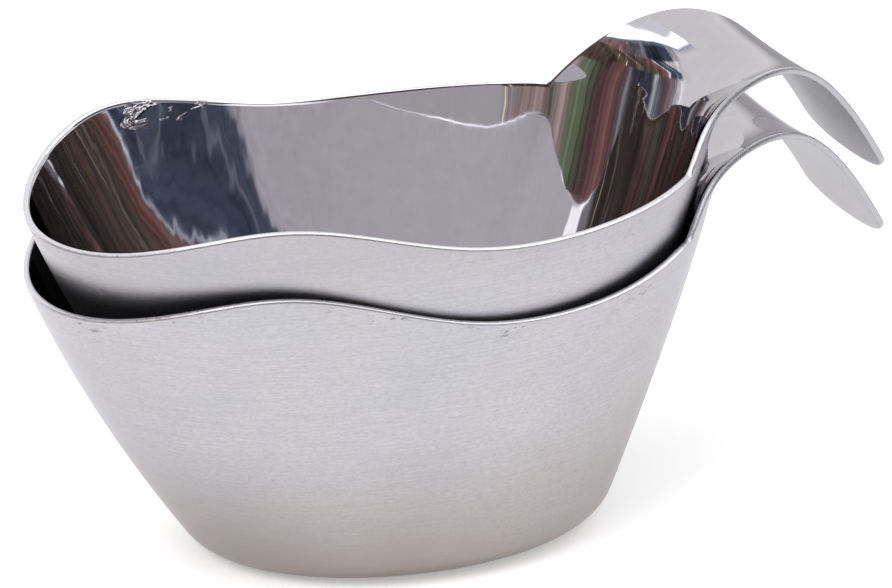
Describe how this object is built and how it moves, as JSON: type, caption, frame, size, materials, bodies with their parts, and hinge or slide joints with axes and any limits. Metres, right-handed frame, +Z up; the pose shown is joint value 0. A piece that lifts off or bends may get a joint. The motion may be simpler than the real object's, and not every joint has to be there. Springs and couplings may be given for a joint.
{
  "type": "sauce boat",
  "caption": "Stacked pair of oval stainless sauce boats with wavy rims; each wall runs on up and over as a broad rounded strap handle.",
  "frame": {"origin": "middle of the lower boat's base, on the surface it stands on", "axes": "+X towards the handles, -X the pouring end, +Z up"},
  "size_m": [0.1937, 0.0963, 0.0937],
  "materials": {
    "satin_steel": "satin, fine level brush lines on the outside and under the handle",
    "mirror_steel": "mirror polish inside the bowl and over the top of the handle",
    "edge_steel": "polished cut edge of the sheet"
  },
  "bodies": {
    "lower": {"lower_boat": "satin_steel"},
    "upper": {"upper_boat": "satin_steel"}
  },
  "joints": [
    {"name": "lift_out", "type": "slide", "parent": "lower", "child": "upper", "axis": [0, 0, 1], "range_m": [0, 0.09]}
  ]
}
